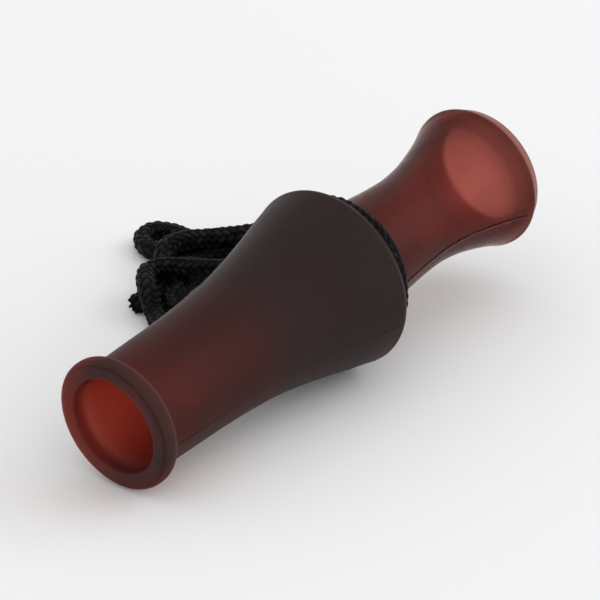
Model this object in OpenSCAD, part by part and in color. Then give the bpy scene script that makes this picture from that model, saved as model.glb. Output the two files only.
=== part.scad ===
// Closed-reed predator call: a lipped barrel, a belled insert that plugs into
// it and carries the reed assembly, and a braided lanyard noosed round the
// insert's neck.  The call lies on its lip and on its widest ring, as it rests
// on a table: +X runs towards the bell, +Z is up.  Millimetres.

/* [Barrel] */
// Length of the barrel from the lip's face to its rear face
barrel_len = 56; // [52:0.5:60]
// Radius of the bore that takes the insert's tenon
bore_r = 8; // [7.9:0.05:8.1]
// Radius of the mouth's counterbore, just inside the lip
mouth_r = 8.2; // [8.15:0.05:8.4]
// Length of the mouth's counterbore
mouth_len = 10; // [8:0.5:12]
// Radius of the ring that the lip's bead is rolled round
bead_ring_r = 9.85; // [9.8:0.05:10.2]
// Radius of the lip's bead itself
bead_r = 1.6; // [1.4:0.05:1.8]
// Radius of the rounded rear edge of the barrel
edge_r = 1.5; // [1:0.1:1.8]
// Radius of the ring that the rear edge is rounded about
edge_ring_r = 14.4; // [14:0.1:14.8]

/* [Insert] */
// Length of the insert outside the barrel
insert_len = 41.85; // [41.7:0.05:43]
// Radius of the tenon that slides into the barrel
tenon_r = 7.85; // [7.6:0.05:7.88]
// Length of the tenon inside the barrel
tenon_len = 18; // [16:0.5:22]
// Radius of the sound bore through the insert
sound_r = 5; // [4.9:0.05:5.2]
// Gap between the insert's shoulder and the barrel's rear face at rest
shoulder_gap = 0.1; // [0.05:0.05:0.3]
// Radius of the bell at the ridge of its rim
rim_r = 12.95; // [12.8:0.05:13.1]
// Radius at the end of the land that tapers from the ridge to the bell's end
land_r = 12; // [11.9:0.05:12.2]

/* [Seals] */
// Radius of the O-rings' round section
ring_wire_r = 0.84; // [0.8:0.01:0.84]
// Radius of the O-rings' centre line
ring_r = 7.1; // [7.09:0.01:7.1]
// Width of each O-ring groove
groove_w = 2; // [1.8:0.1:2.4]
// Distance of the front O-ring from the rear face, along the tenon
front_ring_at = 13; // [11:0.5:14]
// Distance of the rear O-ring from the rear face, along the tenon
rear_ring_at = 5; // [4:0.5:7]

/* [Reed] */
// Radius of the round heel of the tone board and of the wedge
heel_r = 4.95; // [4.8:0.05:4.98]
// Length of the tone board
board_len = 56; // [50:1:58]
// Distance that the tone board reaches forward of the rear face
board_reach = 40; // [36:1:42]
// Fall of the tone board's face away from the reed, in degrees
board_fall = 3; // [2:0.5:4]
// Thickness of the reed
reed_t = 0.3; // [0.2:0.05:0.4]
// Width of the reed
reed_w = 8; // [6:0.5:9]
// Length of the wedge that clamps the reed's heel
wedge_len = 20; // [16:0.5:22]
// Width of the air channel in the tone board
channel_w = 4.4; // [3:0.2:5]

/* [Lanyard] */
// Diameter of the braided cord
cord_d = 3.3; // [3:0.1:3.4]
// Radius of the noose round the insert's neck, to the cord's centre
noose_r = 12.35; // [12.3:0.05:12.6]
// Height of the folded hank
hank_h = 7.5; // [6.5:0.5:9]
// Half the width of the folded hank
hank_r = 16; // [14:0.5:17]
// Distance between the centres of the hank's round ends
hank_span = 18; // [14:1:22]

/* [Hidden] */
$fn = 72;

// How the call lies: the line that touches both the bead and the rear edge
lie_run = barrel_len - edge_r - bead_r;
lie_rise = edge_ring_r - bead_ring_r;
tilt = atan2(lie_rise, lie_run)
     + asin((edge_r - bead_r) / sqrt(lie_rise * lie_rise + lie_run * lie_run));
// Height of the axis at the barrel's rear face
rear_z = edge_ring_r * cos(tilt) + edge_r + edge_r * sin(tilt);
// The call is centred along X between its lip and its bell
front_x = (bead_r - barrel_len) * cos(tilt) - bead_ring_r * sin(tilt) - bead_r;
end_round = 2;
back_x = insert_len * cos(tilt) + (land_r - end_round) * sin(tilt);
rear_x = -(front_x + back_x) / 2;

// Outside of the barrel: distance from the lip's face, radius
barrel_line = [[4.1, 9.62], [7, 9.78], [12, 9.92], [18, 10.05], [25, 10.4],
               [32, 11.05], [39, 12.25], [45, 13.6], [49.5, 14.75], [52.5, 15.45]];
// Outside of the insert: distance from the barrel's rear face, radius
insert_line = [[5, 9.85], [10.5, 9.2], [16, 8.7], [21, 8.55], [26, 9.1],
               [30.5, 10.15], [34, 11.2], [36, 11.95]];
// Inside of the bell, from the mouth inwards
bell_line = [[40.4, 9.4], [37.5, 9.1], [34, 8.35], [30, 7.2], [26, 6.1],
             [22, 5.35], [18, 5]];

// The lanyard's free run from the knot to the hank: x, y, z
run_points = [[11.2, 12, 9.3], [12.8, 14, 8.9], [15.8, 15.8, 8.3],
              [19.4, 17.6, 7.6], [21.6, 20.8, 6.8], [20.6, 24.4, 6.1]];
// The loop that leaves the hank, lies along the barrel and goes back
loop_points = [[-2, 33.4, 3.4], [-2.7, 31.9, 2.2], [-4.2, 29.4, 1.7], [-7.4, 25.8, 1.7],
               [-11.2, 22.4, 1.7], [-12.6, 18.4, 1.7], [-9.6, 15.4, 1.7], [-4.2, 15, 1.7],
               [0.8, 16.4, 1.7], [2.2, 20.4, 1.7], [0.6, 24.6, 1.7], [-0.2, 28.4, 1.7]];
// The hank's middle, and its turn about Z
hank_at = [24.2, 34.7];
hank_turn = -31;
// The side of the hank where the cord's end lies: middle and radius
hank_side = [-14.8, -9];
hank_side_r = 12;

// ---- functions ----
// Slope of a hand-drawn line at its point i
function slope(p, i) =
    let (a = max(i - 1, 0), b = min(i + 1, len(p) - 1))
    (p[b][1] - p[a][1]) / (p[b][0] - p[a][0]);
// A smooth curve through the points of a line, n steps to each stretch
function smooth(p, n) = concat(
    [for (i = [0:len(p) - 2]) for (k = [0:n - 1])
        let (t = k / n, h = p[i + 1][0] - p[i][0],
             a = p[i][1], b = p[i + 1][1],
             ma = slope(p, i) * h, mb = slope(p, i + 1) * h)
        [p[i][0] + t * h,
         (2*t*t*t - 3*t*t + 1) * a + (t*t*t - 2*t*t + t) * ma
         + (3*t*t - 2*t*t*t) * b + (t*t*t - t*t) * mb]],
    [p[len(p) - 1]]);
// An arc about c, from angle a0 to angle a1, in n steps
function arc(c, r, a0, a1, n) =
    [for (i = [0:n]) let (a = a0 + (a1 - a0) * i / n)
        [c[0] + r * cos(a), c[1] + r * sin(a)]];
function unit(v) = v / norm(v);
// Direction of a route at its point i
function along(p, i) = unit(p[min(i + 1, len(p) - 1)] - p[max(i - 1, 0)]);

// ---- shared shapes ----
// Lays what is drawn along the call's own axis down as the call rests
module lay() {
    translate([rear_x, 0, rear_z]) rotate([0, -tilt, 0]) children();
}
// A body turned about the call's axis: points are distance, radius
module turned(line) {
    rotate([0, 90, 0]) rotate_extrude($fn = 96)
        polygon([for (p = line) [p[1], p[0]]]);
}
// A round bar along the call's axis
module bar(from, to, r) {
    translate([from, 0, 0]) rotate([0, 90, 0]) cylinder(h = to - from, r = r);
}
// A ring round the call's axis
module hoop(at, ring, wire) {
    translate([at, 0, 0]) rotate([0, 90, 0])
        rotate_extrude($fn = 96) translate([ring, 0]) circle(r = wire, $fn = 32);
}
// A tube of n sides swept along a route
module swept(p, d, n = 8) {
    rings = [for (i = [0:len(p) - 1])
        let (t = along(p, i), u = unit(cross([0, 0, 1], t)), v = cross(t, u))
        for (k = [0:n - 1])
            p[i] + d / 2 * (cos(360 * k / n) * u + sin(360 * k / n) * v)];
    m = len(p);
    polyhedron(points = rings, faces = concat(
        [[for (k = [0:n - 1]) k]],
        [for (i = [0:m - 2]) for (k = [0:n - 1])
            [i * n + k, (i + 1) * n + k, (i + 1) * n + (k + 1) % n,
             i * n + (k + 1) % n]],
        [[for (k = [n - 1:-1:0]) (m - 1) * n + k]]));
}

// ---- pieces ----
// Moulded barrel with its rolled lip; the insert plugs into its wide end
module barrel() {
    outer = concat(
        arc([bead_r, bead_ring_r], bead_r, 180, 90, 8),
        arc([bead_r + 0.4, bead_ring_r], bead_r, 90, 0, 8),
        smooth(barrel_line, 5),
        arc([barrel_len - edge_r, edge_ring_r], edge_r, 101, 0, 10));
    inner = [[barrel_len, bore_r + 0.4], [barrel_len - 0.4, bore_r],
             [2 + mouth_len + 0.4, bore_r], [2 + mouth_len, mouth_r],
             [2, mouth_r], [0.7, 8.3], [0.25, 8.55], [0.12, 8.9], [0.05, 9.3]];
    color([0.24, 0.13, 0.12])
        lay() translate([-barrel_len, 0, 0]) turned(concat(outer, inner));
}

// Belled insert: tenon with two ring grooves, hourglass neck, open bell
module insert() {
    tenon = [[-tenon_len, sound_r], [-tenon_len, tenon_r - 0.5],
             [-tenon_len + 0.5, tenon_r], [shoulder_gap, tenon_r]];
    neck = concat([[shoulder_gap, 10.1], [0.4, 10.35]], smooth(insert_line, 5));
    rim = concat(
        [[37.2, rim_r - 0.55], [37.7, rim_r - 0.32], [38.1, rim_r - 0.14],
         [38.4, rim_r - 0.03], [38.65, rim_r], [38.9, rim_r - 0.03],
         [39.1, rim_r - 0.09], [40.7, land_r], [41, land_r - 0.17],
         [41.3, land_r - 0.4], [insert_len - 0.3, land_r - 0.7],
         [insert_len - 0.12, land_r - 1.05], [insert_len - 0.03, land_r - 1.45],
         [insert_len, land_r - end_round + 0.2], [insert_len, 9.75],
         [insert_len - 0.1, 9.6], [insert_len - 0.3, 9.5]],
        smooth(bell_line, 5));
    color([0.42, 0.17, 0.15]) lay() difference() {
        turned(concat(tenon, neck, rim));
        for (at = [front_ring_at, rear_ring_at])
            translate([-at, 0, 0]) difference() {
                bar(-groove_w / 2, groove_w / 2, tenon_r + 1);
                bar(-groove_w / 2 - 1, groove_w / 2 + 1, ring_r - ring_wire_r - 0.01);
            }
    }
}

// The two seals on the tenon
module front_o_ring() {
    color([0.07, 0.07, 0.08]) lay() hoop(-front_ring_at, ring_r, ring_wire_r);
}
module rear_o_ring() {
    color([0.07, 0.07, 0.08]) lay() hoop(-rear_ring_at, ring_r, ring_wire_r);
}

// Half-round tone board: flat heel, face falling away, air channel under the reed
module tone_board() {
    free = board_reach - tenon_len;
    color([0.85, 0.82, 0.72]) lay() difference() {
        intersection() {
            bar(-board_reach, board_len - board_reach, heel_r);
            rotate([90, 0, 0]) linear_extrude(height = 12, center = true)
                polygon([[-board_reach, -free * tan(board_fall)], [-tenon_len, 0],
                         [board_len - board_reach, 0], [board_len - board_reach, -6],
                         [4 - board_reach, -6], [-board_reach, -3.6]]);
        }
        translate([3 - board_reach, -channel_w / 2, -3])
            cube([board_len, channel_w, 4]);
    }
}

// Clamped heel of the reed
module reed_heel() {
    color([0.9, 0.9, 0.86]) lay()
        translate([-tenon_len, -reed_w / 2, 0]) cube([wedge_len, reed_w, reed_t]);
}
// Free tongue of the reed, which beats on the tone board
module reed_tongue() {
    free = board_reach - tenon_len - 1;
    color([0.9, 0.9, 0.86]) lay() intersection() {
        translate([-tenon_len - 0.05 - free, -reed_w / 2, 0])
            cube([free, reed_w, reed_t]);
        union() {
            translate([-tenon_len - free + reed_w / 2, 0, -1]) cylinder(h = 3, r = reed_w / 2);
            translate([-tenon_len - free + reed_w / 2, -reed_w / 2, -1])
                cube([free, reed_w, 3]);
        }
    }
}
// Wedge that holds the reed's heel down on the tone board
module wedge() {
    color([0.66, 0.5, 0.33]) lay() intersection() {
        bar(0.5 - tenon_len, wedge_len - tenon_len, heel_r);
        translate([-tenon_len, -6, reed_t]) cube([2 * wedge_len, 12, 6]);
    }
}

// Noose of braided cord round the insert's neck
module lanyard_noose() {
    color([0.04, 0.04, 0.05]) lay() hoop(cord_d / 2 + 0.15, noose_r, cord_d / 2);
}
// Knot that closes the noose, on the side away from the lip's front view
module lanyard_knot() {
    color([0.04, 0.04, 0.05]) lay() rotate([-30, 0, 0]) {
        translate([3.5, 14, 0]) sphere(r = 3.3, $fn = 40);
        translate([4.2, 14.6, 1.6]) sphere(r = 2.6, $fn = 40);
    }
}
// Free run of cord from the knot down to the hank
module lanyard_run() {
    color([0.04, 0.04, 0.05]) swept(run_points, cord_d);
}
// Outer shape of the folded hank that lies behind the call
module lanyard_hank() {
    color([0.04, 0.04, 0.05]) translate([hank_at[0], hank_at[1], 0])
        rotate([0, 0, hank_turn]) linear_extrude(height = hank_h) {
            translate([-hank_span / 2, -hank_r]) square([hank_span, 2 * hank_r]);
            for (side = [-1, 1]) translate([side * hank_span / 2, 0]) circle(r = hank_r);
            translate(hank_side) circle(r = hank_side_r);
        }
}
// Loop of cord along the barrel's side, from the hank and back to it
module lanyard_loop() {
    color([0.04, 0.04, 0.05]) swept(loop_points, cord_d);
}

barrel();
insert();
front_o_ring();
rear_o_ring();
tone_board();
reed_heel();
reed_tongue();
wedge();
lanyard_noose();
lanyard_knot();
lanyard_run();
lanyard_hank();
lanyard_loop();
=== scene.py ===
"""A closed-reed predator call on a pale floor: turned translucent bodies, braided lanyard."""
import math

import bpy
import numpy as np
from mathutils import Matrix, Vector


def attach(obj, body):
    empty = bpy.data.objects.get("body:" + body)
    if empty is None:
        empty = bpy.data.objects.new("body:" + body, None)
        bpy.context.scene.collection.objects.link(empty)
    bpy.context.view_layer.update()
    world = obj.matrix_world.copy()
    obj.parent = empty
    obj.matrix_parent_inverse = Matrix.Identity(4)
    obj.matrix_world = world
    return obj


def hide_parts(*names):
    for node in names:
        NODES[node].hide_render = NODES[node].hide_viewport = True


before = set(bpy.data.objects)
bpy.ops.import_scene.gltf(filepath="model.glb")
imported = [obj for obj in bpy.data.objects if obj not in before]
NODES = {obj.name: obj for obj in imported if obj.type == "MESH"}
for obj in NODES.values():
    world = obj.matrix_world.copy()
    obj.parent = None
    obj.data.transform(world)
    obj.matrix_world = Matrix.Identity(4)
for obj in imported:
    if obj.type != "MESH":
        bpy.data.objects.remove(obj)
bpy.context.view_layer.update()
MM = 0.001

# The call's own axis: s runs from the barrel's rear face towards the bell, in mm.
TILT = math.radians(4.808077)
REAR = np.array([7.047, 0.0, 15.975])
AX = np.array([math.cos(TILT), 0.0, math.sin(TILT)])
SIDE = np.array([0.0, 1.0, 0.0])
UP = np.array([-math.sin(TILT), 0.0, math.cos(TILT)])


def on_call(s, r, phi_deg):
    """A point of the call in mm: along the axis, out from it, and round it from +Y towards up."""
    p = math.radians(phi_deg)
    return REAR + s * AX + r * (math.cos(p) * SIDE + math.sin(p) * UP)


# ---------------------------------------------------------------- camera
cam_data = bpy.data.cameras.new("camera")
cam_data.lens = 210.0
cam_data.sensor_width = 36.0
cam_data.clip_start = 0.01
cam_data.clip_end = 20.0
cam = bpy.data.objects.new("camera", cam_data)
cam.location = (-0.396615, -0.323114, 0.286132)
cam.rotation_euler = (math.radians(61.985), 0.0, math.radians(-50.68))
bpy.context.scene.collection.objects.link(cam)
bpy.context.scene.camera = cam


# ---------------------------------------------------------------- mesh helpers
def add_mesh(name, points_mm, faces, smooth=True):
    me = bpy.data.meshes.new(name)
    pts = np.asarray(points_mm, dtype=np.float32) * MM
    faces = np.asarray(faces, dtype=np.int32)
    me.vertices.add(len(pts))
    me.vertices.foreach_set("co", pts.ravel())
    n, k = faces.shape
    me.loops.add(n * k)
    me.loops.foreach_set("vertex_index", faces.ravel())
    me.polygons.add(n)
    me.polygons.foreach_set("loop_start", np.arange(0, n * k, k, dtype=np.int32))
    me.polygons.foreach_set("loop_total", np.full(n, k, dtype=np.int32))
    me.update(calc_edges=True)
    me.validate()
    me.polygons.foreach_set("use_smooth", np.full(len(me.polygons), smooth, dtype=bool))
    ob = bpy.data.objects.new(name, me)
    bpy.context.scene.collection.objects.link(ob)
    return ob


def respace(line, step):
    s = np.concatenate([[0], np.cumsum(np.linalg.norm(np.diff(line, axis=0), axis=1))])
    n = max(2, int(round(s[-1] / step)))
    t = np.linspace(0, s[-1], n + 1)
    return np.stack([np.interp(t, s, line[:, k]) for k in range(line.shape[1])], 1)


def spline(p, step):
    """A centripetal Catmull-Rom line through points, at even steps."""
    p = np.asarray(p, float)
    p = np.vstack([2 * p[0] - p[1], p, 2 * p[-1] - p[-2]])
    out = []
    for i in range(1, len(p) - 2):
        p0, p1, p2, p3 = p[i - 1 : i + 3]
        t0 = 0.0
        t1 = t0 + np.linalg.norm(p1 - p0) ** 0.5
        t2 = t1 + np.linalg.norm(p2 - p1) ** 0.5
        t3 = t2 + np.linalg.norm(p3 - p2) ** 0.5
        m = max(2, int(np.linalg.norm(p2 - p1) / 0.25))
        for t in np.linspace(t1, t2, m, endpoint=False):
            a1 = (t1 - t) / (t1 - t0) * p0 + (t - t0) / (t1 - t0) * p1
            a2 = (t2 - t) / (t2 - t1) * p1 + (t - t1) / (t2 - t1) * p2
            a3 = (t3 - t) / (t3 - t2) * p2 + (t - t2) / (t3 - t2) * p3
            b1 = (t2 - t) / (t2 - t0) * a1 + (t - t0) / (t2 - t0) * a2
            b2 = (t3 - t) / (t3 - t1) * a2 + (t - t1) / (t3 - t1) * a3
            out.append((t2 - t) / (t2 - t1) * b1 + (t - t1) / (t2 - t1) * b2)
    out.append(p[-2])
    return respace(np.array(out), step)


# ---------------------------------------------------------------- the lanyard's route
CORD_D = 3.3
# Outside of the call: distance along the axis, radius
CALL_LINE = np.array([
    [-56, 11.2], [-54, 11.45], [-52, 9.7], [-49, 9.78], [-44, 9.92], [-38, 10.05],
    [-31, 10.4], [-24, 11.05], [-17, 12.25], [-11, 13.6], [-6.5, 14.75], [-3.5, 15.45],
    [-1, 15.9], [0, 15.9], [0.2, 14.1], [3.6, 14.1], [3.8, 10], [10, 9.2], [21, 8.55],
    [30, 10.1], [36, 11.95], [38, 12.65], [41.9, 10]])


def clear_of_call(p, gap):
    d = p - REAR
    s = d @ AX
    rad = d - s[:, None] * AX
    r = np.linalg.norm(rad, axis=1)
    need = np.interp(s, CALL_LINE[:, 0], CALL_LINE[:, 1]) + gap
    return p + rad / np.maximum(r, 1e-6)[:, None] * np.maximum(0, need - r)[:, None]


def settle(line, steps, first, d, step):
    """Lets the strands push each other apart and bend evenly, on the floor and beside the call."""
    x = line.copy()
    x0 = line.copy()
    idx = np.arange(len(x))
    skip = int(round(9.0 / step))
    apart = np.abs(idx[:, None] - idx[None, :]) > skip
    for _ in range(steps):
        lap = np.zeros_like(x)
        lap[1:-1] = 0.5 * (x[:-2] + x[2:]) - x[1:-1]
        bi = np.zeros_like(x)
        bi[1:-1] = lap[1:-1] - 0.5 * (lap[:-2] + lap[2:])
        x = x + 0.25 * bi + 0.02 * (x0 - x)
        diff = x[:, None, :] - x[None, :, :]
        dist = np.linalg.norm(diff, axis=2)
        m = apart & (dist < d)
        if m.any():
            push = np.where(m, (d - dist) / np.maximum(dist, 1e-6), 0)
            x = x + 0.25 * (push[:, :, None] * diff).sum(1) / np.maximum(1, m.sum(1) ** 0.5)[:, None]
        x[first:] = clear_of_call(x[first:], 1.72)
        x[:, 2] = np.maximum(x[:, 2], 1.85)
        x[:first] = x0[:first]
    return x


FREE = [
    # from the knot, turning back over the folds
    (11.2, 12, 9.3), (12.8, 14, 8.9), (15.8, 15.8, 8.3), (19.4, 17.6, 7.6), (21.4, 20.8, 6.8),
    (20, 24.2, 6.1), (16.4, 26.4, 5.6),
    # the near strand, its bend, and its way down to the floor
    (13.2, 27.8, 5.3), (11.5, 30.2, 5.2), (10.1, 32.5, 5.2), (8.6, 34.7, 5.2), (6.9, 36.8, 5.2),
    (5.0, 38.2, 5.2), (3.0, 38.5, 5.2), (1.0, 37.0, 5.2), (-0.9, 35.0, 4.8), (-2.1, 33.4, 3.5),
    (-2.8, 31.9, 2.3), (-4.4, 29.4, 1.85),
    # the loop along the barrel
    (-7.4, 25.8, 1.85), (-11.2, 22.4, 1.85), (-12.6, 18.4, 1.85), (-9.6, 15.4, 1.85),
    (-4.2, 15, 1.85), (0.8, 16.4, 1.85), (2.2, 20.4, 1.85), (0.6, 24.6, 1.85), (-0.2, 28.4, 1.85),
    # under the near strand to the turn beside the neck
    (1.2, 31.6, 1.85), (4.2, 33.7, 1.85), (8.2, 34.9, 1.85), (12, 35.5, 1.85), (16, 34.3, 1.85),
    (20.6, 31, 1.85), (26, 27.4, 1.85),
    (31.6, 24.6, 1.85), (36.2, 25, 1.85), (37.2, 28.8, 1.85), (34, 31.6, 1.85), (29.4, 33, 1.85),
    # back under the top strand to the far bight
    (25, 34.8, 1.85), (21.4, 37.2, 1.85), (18.6, 39.8, 1.85), (16.6, 42.2, 1.85), (15, 44.8, 1.85),
    (14.6, 47.4, 1.85), (15.2, 49.8, 1.85), (16.8, 51.9, 1.85), (19.2, 52.8, 1.85), (21.4, 52, 1.85),
    (22.2, 49.4, 1.85), (22.2, 46.4, 1.85), (23.0, 43.2, 1.85), (25.6, 40.2, 1.85), (29.4, 37.8, 1.85),
    (34, 35.8, 1.85), (39, 33.6, 1.85),
    # the turn beside the bell
    (43, 30.2, 1.85), (44.6, 25.6, 1.85), (42.6, 21.2, 1.85), (38.2, 19.6, 1.9), (34.2, 20.8, 3.4),
    (31.6, 23.8, 5.1), (30.8, 27.6, 5.3), (29.8, 31, 5.3),
    # the top strand, then under the near strand to the cut end
    (26.6, 33.7, 5.2), (22.2, 36.5, 5.2), (19.2, 39.1, 5.2), (16.6, 41.2, 5.2), (13.8, 42.5, 5.0),
    (11.4, 42.2, 4.3), (10.0, 40.5, 3.2), (8.3, 38.7, 2.2), (6.2, 37.3, 1.85), (3.4, 36.4, 1.85),
    (0.3, 36.0, 1.85), (-2.6, 36.6, 1.85)]


def lanyard_line():
    """The whole cord: wrapped twice round itself, once round the neck, through the wraps, then the folds."""
    free = settle(spline(FREE, 0.9), 500, 14, 3.36, 0.9)
    # the wraps lie round the run, where it has left the neck
    u = np.array([0.77, 0.60, -0.19])
    u = u / np.linalg.norm(u)
    e1 = np.array([0, 0, 1.0]) - u[2] * u
    e1 = e1 / np.linalg.norm(e1)
    e2 = np.cross(u, e1)
    k = np.array([12.9, 13.75, 8.95])
    wraps = []
    for i in range(0, 33):
        f = i / 32.0
        th = math.radians(-90 - 720 * (1 - f))
        wraps.append(k + u * (7.6 - 6.0 * f) + 3.0 * (math.cos(th) * e1 + math.sin(th) * e2))
    tail = wraps[0] + np.array([0.6, 1.1, -2.3])
    noose = [on_call(4.0, 14.6, -16), on_call(2.7, 13.1, -5), on_call(1.95, 12.15, 8)]
    # slack on its upper near side, where it stands off the barrel
    for p in range(20, 301, 10):
        slack = max(0.0, math.cos(math.radians(1.6 * (p - 138)))) ** 2
        noose.append(on_call(1.82 + 0.42 * slack, 12.0, p))
    noose += [on_call(1.95, 12.15, -50), on_call(2.45, 12.85, -40)]
    head = np.array([tail] + wraps + noose)
    return respace(np.vstack([spline(np.vstack([head, free[:3]]), 0.3)[:-1], spline(free[2:], 0.3)]), 0.212)


# ---------------------------------------------------------------- braid
def braid_height(theta, v, lead, yarns=8):
    """Height, 0 to 1, of a two-over-two braid at an angle and a length along the cord."""
    pa = yarns * (theta / (2 * math.pi) + v / lead)
    pb = yarns * (theta / (2 * math.pi) - v / lead)
    ia, ib = np.floor(pa), np.floor(pb)
    fa, fb = pa - ia, pb - ib
    k = np.mod(ia + ib, 4)
    over_a = k < 2
    across = np.where(over_a, fa, fb)
    along = np.where(over_a, (k + fb) / 2, (k - 2 + fa) / 2)
    crown = np.sqrt(np.clip(1 - (2 * across - 1) ** 2, 0, 1))
    rise = np.sin(np.pi * np.clip(along, 0, 1))
    j = np.where(over_a, ib - k, ia - (k - 2))
    i1 = np.where(over_a, ia - j, j - ib)
    i2 = np.mod(np.where(over_a, ia + j, j + ib), 2 * yarns)
    h = np.sin(i1 * 12.9898 + i2 * 78.233 + np.where(over_a, 0.0, 37.719)) * 43758.5453
    h = h - np.floor(h)
    return crown ** 0.75 * rise ** 0.5 * (0.86 + 0.28 * h), h


def frames_along(line):
    t = np.gradient(line, axis=0)
    t /= np.linalg.norm(t, axis=1)[:, None]
    n = np.zeros_like(line)
    a = np.array([0.0, 0.0, 1.0])
    a = a - (a @ t[0]) * t[0]
    n[0] = a / np.linalg.norm(a)
    for i in range(1, len(line)):
        a = n[i - 1] - (n[i - 1] @ t[i]) * t[i]
        n[i] = a / np.linalg.norm(a)
    return t, n, np.cross(t, n)


def braided(name, line, d, seg=52):
    """A braided cord along a line of points, in mm, with cut ends."""
    t, n, b = frames_along(line)
    step = np.concatenate([[0], np.cumsum(np.linalg.norm(np.diff(line, axis=0), axis=1))])
    th = np.arange(seg) * (2 * math.pi / seg)
    T, V = np.meshgrid(th, step)
    # the braid is a little loose: its pitch and turn wander along the cord
    wander = 0.16 * np.sin(V * 0.21 + 0.7) + 0.10 * np.sin(V * 0.53 + 2.1)
    pull = V + 0.35 * np.sin(V * 0.33) + 0.12 * np.sin(T * 2 + V * 0.4)
    h, lot = braid_height(np.mod(T + wander, 2 * math.pi), pull, 12.2)
    oval = 1 + 0.03 * np.cos(2 * (T - 0.11 * V)) + 0.02 * np.sin(V * 0.9 + 1.3)
    r = (np.asarray(d).reshape(-1, 1) / 2 - 0.25) * oval + 0.42 * h
    length = step[-1]
    # the cut ends close in and the yarns' tips end unevenly
    ends = np.minimum(V, length - V)
    r = r * (1 - 0.16 * np.clip(1 - ends / 0.8, 0, 1) ** 2)
    ragged = np.zeros_like(V)
    tip = np.clip(1 - (length - V) / 0.9, 0, 1)
    ragged += tip * (0.45 * np.sin(T * 8 + 1.0) + 0.3 * np.sin(T * 5 + 0.4) + 0.25 * np.sin(T * 13))
    pts = (line[:, None, :]
           + r[..., None] * (np.cos(T)[..., None] * n[:, None, :] + np.sin(T)[..., None] * b[:, None, :])
           + ragged[..., None] * t[:, None, :] * 0.55)
    rings = len(line)
    verts = [pts.reshape(-1, 3)]
    i = np.arange(rings - 1)[:, None] * seg
    j = np.arange(seg)[None, :]
    j2 = (j + 1) % seg
    quads = np.stack([i + j, i + j2, i + seg + j2, i + seg + j], -1).reshape(-1, 4)
    faces = [quads]
    count = rings * seg
    # caps: two inner rings, then the middle
    for end, ring0, flip in ((0, 0, True), (rings - 1, (rings - 1) * seg, False)):
        outer = ring0 + np.arange(seg)
        way = -1.0 if end == 0 else 1.0
        for share, lift in ((0.7, 0.12), (0.36, -0.05)):
            k = np.arange(seg)
            rough = 0.12 * np.sin(k * 2.4 + share * 9) + 0.1 * np.sin(k * 5.1)
            ring = (line[end] + share * (pts[end] - line[end] - ragged[end][:, None] * t[end] * 0.55)
                    + way * (lift + rough)[:, None] * t[end])
            verts.append(ring)
            inner = count + np.arange(seg)
            count += seg
            q = np.stack([outer, np.roll(outer, -1), np.roll(inner, -1), inner], -1)
            faces.append(q[:, ::-1] if flip else q)
            outer = inner
        # the middle: quads between opposite points of the inmost ring
        half = seg // 2
        a = outer
        q = np.array([[a[m], a[m + 1], a[seg - 2 - m], a[seg - 1 - m]] for m in range(half - 1)])
        faces.append(q[:, ::-1] if flip else q)
    ob = add_mesh(name, np.vstack(verts), np.vstack(faces))
    for mark, on_side, on_end in (("height", h, 0.3), ("yarn", lot, 0.3)):
        shade = ob.data.attributes.new(mark, "FLOAT", "POINT")
        vals = np.full(len(ob.data.vertices), on_end, np.float32)
        vals[: rings * seg] = on_side.ravel()
        shade.data.foreach_set("value", vals)
    return ob


# ---------------------------------------------------------------- turned bodies
def hermite(p, n):
    """A smooth curve through the points of a profile, n steps to each stretch."""
    m = []
    for i in range(len(p)):
        a, b = max(i - 1, 0), min(i + 1, len(p) - 1)
        m.append((p[b][1] - p[a][1]) / (p[b][0] - p[a][0]))
    out = []
    for i in range(len(p) - 1):
        (x0, y0), (x1, y1) = p[i], p[i + 1]
        w = x1 - x0
        for k in range(n):
            t = k / n
            out.append((x0 + t * w,
                        (2 * t**3 - 3 * t**2 + 1) * y0 + (t**3 - 2 * t**2 + t) * w * m[i]
                        + (-2 * t**3 + 3 * t**2) * y1 + (t**3 - t**2) * w * m[i + 1]))
    out.append(tuple(p[-1]))
    return out


def arc(c, r, a0, a1, n):
    return [(c[0] + r * math.cos(math.radians(a0 + (a1 - a0) * i / n)),
             c[1] + r * math.sin(math.radians(a0 + (a1 - a0) * i / n))) for i in range(n + 1)]


def straight(p, q, n):
    return [(p[0] + (q[0] - p[0]) * i / n, p[1] + (q[1] - p[1]) * i / n) for i in range(n + 1)]


def joined(*parts):
    """One profile from parts, without points that fall on each other."""
    out = []
    for part in parts:
        for p in part:
            if not out or math.hypot(p[0] - out[-1][0], p[1] - out[-1][1]) > 0.02:
                out.append(p)
    if math.hypot(out[0][0] - out[-1][0], out[0][1] - out[-1][1]) < 0.02:
        out.pop()
    return out


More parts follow.
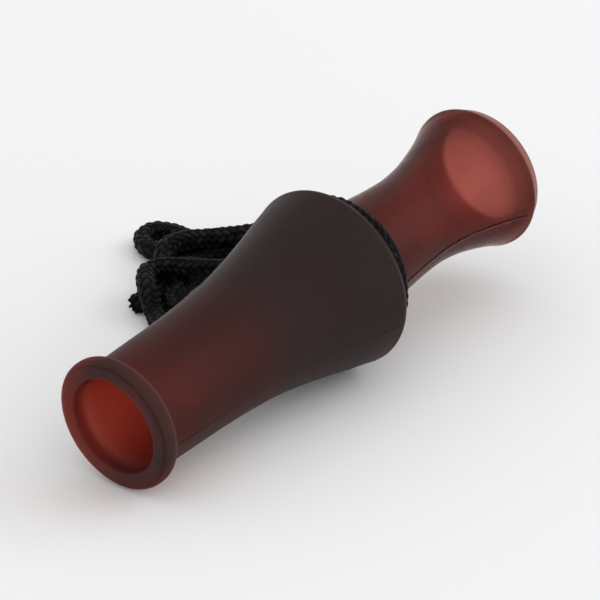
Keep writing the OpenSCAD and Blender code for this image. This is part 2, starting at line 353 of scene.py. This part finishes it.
def turned(name, profile, outside, seams, edge, shade, seg=168):
    """A closed turned body from a closed profile (distance along the axis, radius), with mould
    seams at some angles: a low flash line with a small step between the mould's halves, fainter
    half way along. A darker line beside each flash line, painted shade at given places and pale edge marks (mostly
    painted highlights) are stored on the mesh for the finish."""
    angles = set(round(i * 360.0 / seg, 4) for i in range(seg))
    for at, *_ in seams:
        angles -= {a for a in angles if abs((a - at + 180) % 360 - 180) < 3.2}
        angles |= {round((at + o) % 360, 4) for o in (-3.2, -2.2, -1.5, -1.05, -0.75, -0.45, -0.2, 0.0, 0.2, 0.45, 0.75, 1.05, 1.5, 2.2, 3.2)}
    ang = np.array(sorted(angles))
    prof = np.array(profile)
    s, r = prof[:, 0], prof[:, 1]
    R = np.repeat(r[:, None], len(ang), 1)
    darker_seams_and_painted_shade = np.repeat(np.array([shade(a, b) for a, b in profile])[:, None], len(ang), 1)
    for at, height, step, s0, s1, fade in seams:
        off = (ang - at + 180) % 360 - 180
        arc_mm = np.radians(off)[None, :] * r[:, None]
        on = outside(s, r) * np.clip((s - s0) / 1.5, 0, 1) * np.clip((s1 - s) / 1.5, 0, 1)
        on = on * (1 - fade * np.exp(-(((s - (s0 + s1) / 2) / (0.36 * (s1 - s0))) ** 4)))
        ridge = height * np.exp(-(arc_mm / 0.085) ** 2) - 0.6 * height * np.exp(-((arc_mm + 0.24) / 0.12) ** 2)
        side = step * np.clip(arc_mm / 0.1, 0, 1) * np.clip(1 - (arc_mm - 0.25) / 0.3, 0, 1)
        R = R + on[:, None] * (ridge + side)
        darker_seams_and_painted_shade = np.maximum(darker_seams_and_painted_shade, on[:, None] * np.exp(-((arc_mm + 0.12) / 0.16) ** 2))
    c, d = np.cos(np.radians(ang)), np.sin(np.radians(ang))
    pts = (REAR + s[:, None, None] * AX
           + R[..., None] * (c[None, :, None] * SIDE + d[None, :, None] * UP))
    m, k = len(prof), len(ang)
    i = np.arange(m)[:, None] * k
    i2 = ((np.arange(m) + 1) % m)[:, None] * k
    j = np.arange(k)[None, :]
    j2 = (j + 1) % k
    faces = np.stack([i + j, i + j2, i2 + j2, i2 + j], -1).reshape(-1, 4)
    ob = add_mesh(name, pts.reshape(-1, 3), faces)
    wear_and_painted_highlight = np.repeat(np.array([edge(a, b) for a, b in profile])[:, None], len(ang), 1)
    for mark, vals in (("seams_and_painted_shade", darker_seams_and_painted_shade), ("wear_and_painted_highlight", wear_and_painted_highlight)):
        at = ob.data.attributes.new(mark, "FLOAT", "POINT")
        at.data.foreach_set("value", vals.ravel().astype(np.float32))
    return ob


def near(s, r, s0, r0, w):
    """1 at a place of a profile, falling off over w mm."""
    return math.exp(-((s - s0) ** 2 + (r - r0) ** 2) / w ** 2)


BARREL_LINE = [(4.1, 9.62), (7, 9.78), (12, 9.92), (18, 10.05), (25, 10.4), (32, 11.05),
               (39, 12.25), (45, 13.6), (49.5, 14.75), (52.5, 15.45)]
INSERT_LINE = [(5, 9.85), (10.5, 9.2), (16, 8.73), (21, 8.6), (26, 9.13), (30.5, 10.16), (34, 11.2), (36, 11.93)]
BELL_LINE = [(40.4, 9.4), (37.5, 9.1), (34, 8.35), (30, 7.2), (26, 6.1), (22, 5.35), (18, 5)]


def barrel_profile():
    lip = hermite([(0.05, 9.3), (0.12, 8.9)], 2)[::-1]
    face = [(0.25, 8.55), (0.13, 8.88), (0.05, 9.3), (0.0, 9.75)]
    front = arc((1.6, 9.85), 1.6, 180, 90, 22)
    back = arc((2.0, 9.85), 1.6, 90, 6, 18)
    # a shallow valley parts the lip's face from its bead
    shaped = []
    for x, y in front:
        a = math.degrees(math.atan2(y - 9.85, 1.6 - x))
        dip = 0.24 * math.exp(-((a - 36) / 9.5) ** 2)
        q = 1.6 - dip
        shaped.append((1.6 + (x - 1.6) / 1.6 * q, 9.85 + (y - 9.85) / 1.6 * q))
    fillet = [(3.68, 9.78), (3.8, 9.68), (3.95, 9.63)]
    tube = hermite(BARREL_LINE, 9)
    edge = arc((54.5, 14.4), 1.5, 101, 0, 14)
    rear = straight((56, 14.4), (56, 8.4), 12)
    bore = [(55.8, 8.12), (55.6, 8)] + straight((55.6, 8), (12.4, 8), 44)
    mouth = [(12.3, 8.05), (12.1, 8.16), (12, 8.2)] + straight((12, 8.2), (2, 8.2), 12) + [(1.3, 8.24), (0.7, 8.32), (0.4, 8.42)]
    p = joined(face, shaped, back, fillet, tube, edge, rear, bore, mouth)
    return [(x - 56, y) for x, y in p]


def insert_profile():
    tenon = [(-18, 5.2), (-18, 7.2), (-17.9, 7.5), (-17.65, 7.76), (-17.4, 7.85)]
    for at in (-13, -5):
        tenon += [(at - 1.12, 7.85), (at - 1, 7.75), (at - 1, 6.35), (at - 0.9, 6.25), (at, 6.25),
                  (at + 0.9, 6.25), (at + 1, 6.35), (at + 1, 7.75), (at + 1.12, 7.85), (at + 3, 7.85)]
    tenon += [(-0.2, 7.85), (0.1, 7.85)]
    neck = straight((0.1, 7.85), (0.1, 10.05), 5) + [(0.16, 10.22), (0.4, 10.34)]
    waist = hermite([(0.4, 10.35)] + INSERT_LINE, 9)
    rim = [(36.6, 12.16), (37.2, 12.4), (37.7, 12.63), (38.1, 12.81), (38.4, 12.92), (38.65, 12.95),
           (38.85, 12.94)] + straight((39.0, 12.89), (40.6, 12.06), 7)
    rim += [(40.85, 11.97), (41.1, 11.86), (41.37, 11.67), (41.59, 11.4), (41.75, 11.05), (41.83, 10.68), (41.85, 10.3)]
    rim += straight((41.85, 10.2), (41.85, 9.8), 2)
    lip = [(41.81, 9.65), (41.72, 9.56), (41.55, 9.5)]
    bell = hermite(BELL_LINE[::-1], 8)[::-1]
    bore = straight((18, 5), (-17.8, 5), 30)
    return joined(tenon, neck, waist, rim, lip, bell, bore)


# ---------------------------------------------------------------- materials
def new_material(name):
    m = bpy.data.materials.new(name)
    m.use_nodes = True
    nt = m.node_tree
    for n in list(nt.nodes):
        nt.nodes.remove(n)
    out = nt.nodes.new("ShaderNodeOutputMaterial")
    bsdf = nt.nodes.new("ShaderNodeBsdfPrincipled")
    nt.links.new(bsdf.outputs["BSDF"], out.inputs["Surface"])
    return m, nt, bsdf


def node(nt, kind, **props):
    n = nt.nodes.new(kind)
    for k, v in props.items():
        setattr(n, k, v)
    return n


def math_node(nt, op, a, b=None, clamp=False):
    n = node(nt, "ShaderNodeMath", operation=op, use_clamp=clamp)
    for i, v in enumerate((a, b)):
        if v is None:
            continue
        if isinstance(v, (int, float)):
            n.inputs[i].default_value = v
        else:
            nt.links.new(v, n.inputs[i])
    return n.outputs[0]


def axial(nt):
    """(object coordinates, distance along the call's axis in mm)"""
    tc = node(nt, "ShaderNodeTexCoord")
    dot = node(nt, "ShaderNodeVectorMath", operation="DOT_PRODUCT")
    nt.links.new(tc.outputs["Object"], dot.inputs[0])
    dot.inputs[1].default_value = tuple(AX)
    s = math_node(nt, "MULTIPLY_ADD", dot.outputs["Value"], 1000.0)
    s.node.inputs[2].default_value = -float(REAR @ AX)
    return tc.outputs["Object"], s


def ramp(nt, fac, lo, hi, stops):
    """Colour by a value: stops are (value, colour)."""
    mr = node(nt, "ShaderNodeMapRange")
    nt.links.new(fac, mr.inputs["Value"])
    mr.inputs["From Min"].default_value = lo
    mr.inputs["From Max"].default_value = hi
    cr = node(nt, "ShaderNodeValToRGB")
    cr.color_ramp.interpolation = "EASE"
    el = cr.color_ramp.elements
    while len(el) < len(stops):
        el.new(0.5)
    for e, (v, c) in zip(el, stops):
        e.position = (v - lo) / (hi - lo)
        e.color = (*c, 1.0)
    nt.links.new(mr.outputs["Result"], cr.inputs["Fac"])
    return cr.outputs["Color"]


def noise(nt, coord, scale, detail=2.0, rough=0.5, stretch=None):
    n = node(nt, "ShaderNodeTexNoise")
    n.inputs["Scale"].default_value = scale
    n.inputs["Detail"].default_value = detail
    n.inputs["Roughness"].default_value = rough
    if stretch:
        mp = node(nt, "ShaderNodeMapping")
        mp.inputs["Scale"].default_value = stretch
        nt.links.new(coord, mp.inputs["Vector"])
        coord = mp.outputs["Vector"]
    nt.links.new(coord, n.inputs["Vector"])
    return n.outputs["Fac"]


def tint(nt, colour, fac, lo, hi):
    """A colour made lighter and darker by a pattern, from lo to hi times."""
    mr = node(nt, "ShaderNodeMapRange")
    nt.links.new(fac, mr.inputs["Value"])
    mr.inputs["From Min"].default_value = 0.3
    mr.inputs["From Max"].default_value = 0.7
    mr.inputs["To Min"].default_value = lo
    mr.inputs["To Max"].default_value = hi
    vm = node(nt, "ShaderNodeVectorMath", operation="SCALE")
    if isinstance(colour, tuple):
        vm.inputs[0].default_value = colour
    else:
        nt.links.new(colour, vm.inputs[0])
    nt.links.new(mr.outputs["Result"], vm.inputs["Scale"])
    return vm.outputs[0]


def bump(nt, bsdf, height, strength, distance):
    b = node(nt, "ShaderNodeBump")
    b.inputs["Strength"].default_value = strength
    b.inputs["Distance"].default_value = distance
    nt.links.new(height, b.inputs["Height"])
    nt.links.new(b.outputs["Normal"], bsdf.inputs["Normal"])


def rough_from(nt, bsdf, fac, lo, hi):
    mr = node(nt, "ShaderNodeMapRange")
    nt.links.new(fac, mr.inputs["Value"])
    mr.inputs["From Min"].default_value = 0.3
    mr.inputs["From Max"].default_value = 0.7
    mr.inputs["To Min"].default_value = lo
    mr.inputs["To Max"].default_value = hi
    nt.links.new(mr.outputs["Result"], bsdf.inputs["Roughness"])


def plastic(name, stops, lo, hi, clear, ior, rough, inside, density, highlight_and_wear_colour, seam_and_shade_darkening, mottle):
    """Moulded translucent plastic: its thickness takes the light, a satin spark texture scatters
    it; the seams are darker, marked hollows get painted shade and marked edges get a pale painted highlight."""
    m, nt, p = new_material(name)
    co, s = axial(nt)
    col = ramp(nt, s, lo, hi, stops)
    cloud = noise(nt, co, 150.0, 5.0, 0.62, (0.6, 1.0, 1.0))
    col = tint(nt, col, cloud, 1 - mottle, 1 + mottle)
    # the seams' darker line and the painted shade in marked hollows darken the colour
    seams_and_painted_shade = node(nt, "ShaderNodeAttribute", attribute_name="seams_and_painted_shade").outputs["Fac"]
    seam_and_shade_factor = math_node(nt, "MULTIPLY_ADD", seams_and_painted_shade, -seam_and_shade_darkening)
    seam_and_shade_factor.node.inputs[2].default_value = 1.0
    scaled = node(nt, "ShaderNodeVectorMath", operation="SCALE")
    nt.links.new(col, scaled.inputs[0])
    nt.links.new(seam_and_shade_factor, scaled.inputs["Scale"])
    # pale marks on edges: mostly painted highlights
    wear_and_painted_highlight = node(nt, "ShaderNodeAttribute", attribute_name="wear_and_painted_highlight").outputs["Fac"]
    pale = node(nt, "ShaderNodeMix", data_type="RGBA")
    nt.links.new(wear_and_painted_highlight, pale.inputs[0])
    nt.links.new(scaled.outputs[0], pale.inputs[6])
    pale.inputs[7].default_value = (*highlight_and_wear_colour, 1.0)
    nt.links.new(pale.outputs[2], p.inputs["Base Color"])
    grain = noise(nt, co, 3600.0, 2.0, 0.6)
    waves = noise(nt, co, 420.0, 2.0, 0.5)
    nt.links.new(ramp(nt, s, lo, hi, [(v, (r, r, r)) for v, r in rough]), p.inputs["Roughness"])
    mix = math_node(nt, "MULTIPLY_ADD", waves, 0.6)
    nt.links.new(grain, mix.node.inputs[2])
    bump(nt, p, mix, 0.3, 0.00005)
    p.inputs["IOR"].default_value = ior
    p.inputs["Transmission Weight"].default_value = clear
    body = node(nt, "ShaderNodeVolumeAbsorption")
    body.inputs["Color"].default_value = (*inside, 1.0)
    body.inputs["Density"].default_value = density
    out = [n for n in nt.nodes if n.type == "OUTPUT_MATERIAL"][0]
    nt.links.new(body.outputs["Volume"], out.inputs["Volume"])
    return m


# In each finish the pale colour after the absorption numbers is laid on marked edges as painted highlight; the number
# after it sets the darkening of the seams and of the painted shade.
MAT_BARREL = plastic("barrel_plastic", [
    (-56, (0.78, 0.44, 0.41)), (-53, (0.78, 0.42, 0.38)), (-50, (0.76, 0.28, 0.24)),
    (-34, (0.72, 0.28, 0.25)), (-20, (0.54, 0.33, 0.32)), (-2, (0.50, 0.325, 0.33))],
    -57, 1, 0.945, 1.13, [(-56, 0.7), (-53.2, 0.7), (-50.5, 0.43), (-2, 0.42)],
    (0.72, 0.32, 0.20), 1650.0, (0.95, 0.58, 0.5), 0.4, 0.06)
# The insert darkens towards the rim's ridge and lightens past it: partly the thicker wall's tint, partly painted shade
# before the ridge.
MAT_INSERT = plastic("insert_plastic", [
    (-18, (0.76, 0.20, 0.16)), (2, (0.76, 0.20, 0.16)), (25, (0.79, 0.208, 0.167)), (31, (0.65, 0.176, 0.14)),
    (34.5, (0.63, 0.17, 0.136)), (36.8, (0.47, 0.128, 0.102)), (38.4, (0.32, 0.09, 0.074)),
    (41.7, (0.46, 0.13, 0.11))], -19, 43, 0.93, 1.12, [(-18, 0.25), (37, 0.25), (39, 0.35)],
    (0.605, 0.525, 0.517), 600.0, (0.92, 0.42, 0.36), 0.7, 0.15)


def cord_material():
    m, nt, p = new_material("cord_braid")
    tc = node(nt, "ShaderNodeTexCoord")
    co = tc.outputs["Object"]
    at = node(nt, "ShaderNodeAttribute", attribute_name="height")
    # darkest down between the yarns, lightest on their crowns: painted shade in the braid's hollows
    col = ramp(nt, at.outputs["Fac"], 0.0, 1.0, [
        (0.0, (0.0002, 0.0002, 0.0003)), (0.5, (0.0014, 0.0014, 0.0017)), (1.0, (0.0085, 0.0085, 0.0098))])
    yarn = node(nt, "ShaderNodeAttribute", attribute_name="yarn").outputs["Fac"]
    fine = noise(nt, co, 2600.0, 3.0, 0.6)
    nt.links.new(tint(nt, tint(nt, col, yarn, 0.5, 1.5), fine, 0.5, 1.6), p.inputs["Base Color"])
    rough_from(nt, p, fine, 0.4, 0.6)
    p.inputs["Specular IOR Level"].default_value = 0.07
    bump(nt, p, fine, 0.5, 0.00012)
    return m


MAT_CORD = cord_material()


def rubber_material():
    m, nt, p = new_material("seal_rubber")
    co = node(nt, "ShaderNodeTexCoord").outputs["Object"]
    n = noise(nt, co, 700.0, 3.0)
    nt.links.new(tint(nt, (0.022, 0.022, 0.023), n, 0.75, 1.3), p.inputs["Base Color"])
    rough_from(nt, p, n, 0.42, 0.6)
    bump(nt, p, n, 0.25, 0.00005)
    return m


def board_material():
    m, nt, p = new_material("board_plastic")
    co = node(nt, "ShaderNodeTexCoord").outputs["Object"]
    cloud = noise(nt, co, 140.0, 3.0)
    nt.links.new(tint(nt, (0.60, 0.54, 0.41), cloud, 0.92, 1.06), p.inputs["Base Color"])
    rough_from(nt, p, cloud, 0.34, 0.5)
    bump(nt, p, noise(nt, co, 2400.0, 2.0), 0.25, 0.00004)
    p.inputs["Subsurface Weight"].default_value = 0.15
    p.inputs["Subsurface Radius"].default_value = (1.0, 0.7, 0.4)
    p.inputs["Subsurface Scale"].default_value = 0.0012
    return m


def film_material():
    m, nt, p = new_material("reed_film")
    co = node(nt, "ShaderNodeTexCoord").outputs["Object"]
    streak = noise(nt, co, 300.0, 2.0, 0.5, (0.25, 1.0, 1.0))
    nt.links.new(tint(nt, (0.80, 0.80, 0.75), streak, 0.95, 1.03), p.inputs["Base Color"])
    rough_from(nt, p, streak, 0.16, 0.3)
    bump(nt, p, streak, 0.15, 0.00003)
    p.inputs["Transmission Weight"].default_value = 0.35
    return m


def cork_material():
    m, nt, p = new_material("wedge_cork")
    co = node(nt, "ShaderNodeTexCoord").outputs["Object"]
    v = node(nt, "ShaderNodeTexVoronoi")
    v.inputs["Scale"].default_value = 1300.0
    nt.links.new(co, v.inputs["Vector"])
    big = noise(nt, co, 520.0, 4.0, 0.6)
    col = ramp(nt, big, 0.2, 0.8, [(0.2, (0.16, 0.08, 0.035)), (0.42, (0.42, 0.25, 0.12)), (0.8, (0.58, 0.40, 0.22))])
    nt.links.new(tint(nt, col, v.outputs["Distance"], 0.8, 1.12), p.inputs["Base Color"])
    rough_from(nt, p, big, 0.75, 0.95)
    bump(nt, p, v.outputs["Distance"], 0.5, 0.00015)
    return m


def dress(ob, *mats):
    ob.data.materials.clear()
    for m in mats:
        ob.data.materials.append(m)


for names, mat in ((("front_o_ring", "rear_o_ring"), rubber_material()),
                   (("tone_board",), board_material()),
                   (("reed_heel", "reed_tongue"), film_material()),
                   (("wedge",), cork_material())):
    for nm in names:
        dress(NODES[nm], mat)

# ---------------------------------------------------------------- pieces
line = lanyard_line()
# the cord is drawn a little thinner where the noose is tight round the neck
along_call = (line - REAR) @ AX
from_axis = np.linalg.norm(line - REAR - along_call[:, None] * AX, axis=1)
tight = np.clip((13.2 - from_axis) / 1.0, 0, 1) * np.clip((4.0 - along_call) / 1.5, 0, 1)
cord = braided("lanyard_cord", line, CORD_D - 0.25 * tight)
dress(cord, MAT_CORD)
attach(cord, "lanyard")
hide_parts("lanyard_noose", "lanyard_knot", "lanyard_run", "lanyard_hank", "lanyard_loop")

barrel = turned("barrel_body", barrel_profile(),
                lambda s, r: ((r > 9.4) & (s < -1.4)).astype(float),
                [(194.0, 0.06, 0.05, -51.5, -1.2, 0.7), (14.0, 0.06, 0.05, -51.5, -1.2, 0.7)],
                # pale marks: painted highlights on the lip's back edge and the mouth's inner edge, and a paler line
                # round the rear edge
                lambda s, r: min(1.0, 0.8 * (-53.7 < s < -52.3) * (r > 10.2) + 0.5 * near(s, r, -0.3, 15.2, 0.4)
                                 + 0.8 * near(s, r, -55.72, 8.48, 0.16)),
                # painted shade: darker inside the mouth's bore and along the valley of the lip's face
                lambda s, r: max(0.9 * (r < 8.4) * min(1.0, max(0.0, (-52.6 - s) / 1.2)),
                                 0.8 * near(s, r, -55.57, 10.7, 0.22)))
dress(barrel, MAT_BARREL)
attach(barrel, "barrel")
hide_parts("barrel")

insert = turned("insert_body", insert_profile(),
                lambda s, r: ((s > 0.5) & (s < 41) & (r > np.where(s < 30, 8.3, 9.8))).astype(float),
                [(194.0, 0.10, 0.08, 0.6, 38.5, 0.0), (14.0, 0.10, 0.08, 0.6, 38.5, 0.0)],
                # the land beyond the rim's ridge is paler: a painted highlight
                lambda s, r: 0.85 * min(1.0, max(0.0, (s - 38.7) / 0.4)) * (r > 10.6),
                lambda s, r: 0.0)
dress(insert, MAT_INSERT)
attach(insert, "insert")
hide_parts("insert")


# ---------------------------------------------------------------- floor and light
def floor_material():
    m, nt, p = new_material("floor_pale")
    co = node(nt, "ShaderNodeTexCoord").outputs["Object"]
    n = noise(nt, co, 3.0, 2.0)
    nt.links.new(tint(nt, (0.92, 0.92, 0.92), n, 0.995, 1.005), p.inputs["Base Color"])
    p.inputs["Roughness"].default_value = 0.9
    p.inputs["Specular IOR Level"].default_value = 0.1
    return m


q = 4000.0
g = np.linspace(-q, q, 9)
fx, fy = np.meshgrid(g, g)
fpts = np.stack([fx.ravel(), fy.ravel(), np.full(fx.size, -0.02)], 1)
fi = np.array([[r * 9 + c, r * 9 + c + 1, (r + 1) * 9 + c + 1, (r + 1) * 9 + c] for r in range(8) for c in range(8)])
floor = add_mesh("floor", fpts, fi)
dress(floor, floor_material())

world = bpy.data.worlds.new("studio")
bpy.context.scene.world = world
world.use_nodes = True
bg = world.node_tree.nodes["Background"]
bg.inputs["Color"].default_value = (1.0, 1.0, 1.0, 1.0)
bg.inputs["Strength"].default_value = 0.88


def area(name, place, aim, size, power, colour=(1, 1, 1)):
    data = bpy.data.lights.new(name, "AREA")
    data.shape = "RECTANGLE"
    data.size, data.size_y = size
    data.energy = power
    data.color = colour
    ob = bpy.data.objects.new(name, data)
    ob.location = place
    way = Vector(aim) - Vector(place)
    ob.rotation_euler = way.to_track_quat("-Z", "Y").to_euler()
    bpy.context.scene.collection.objects.link(ob)
    return ob


area("front_light", (0.75, -0.6, 0.5), (0, 0, 0.015), (0.9, 0.9), 3.6)

scene = bpy.context.scene
scene.view_settings.view_transform = "Standard"
scene.view_settings.look = "None"

bpy.context.view_layer.update()
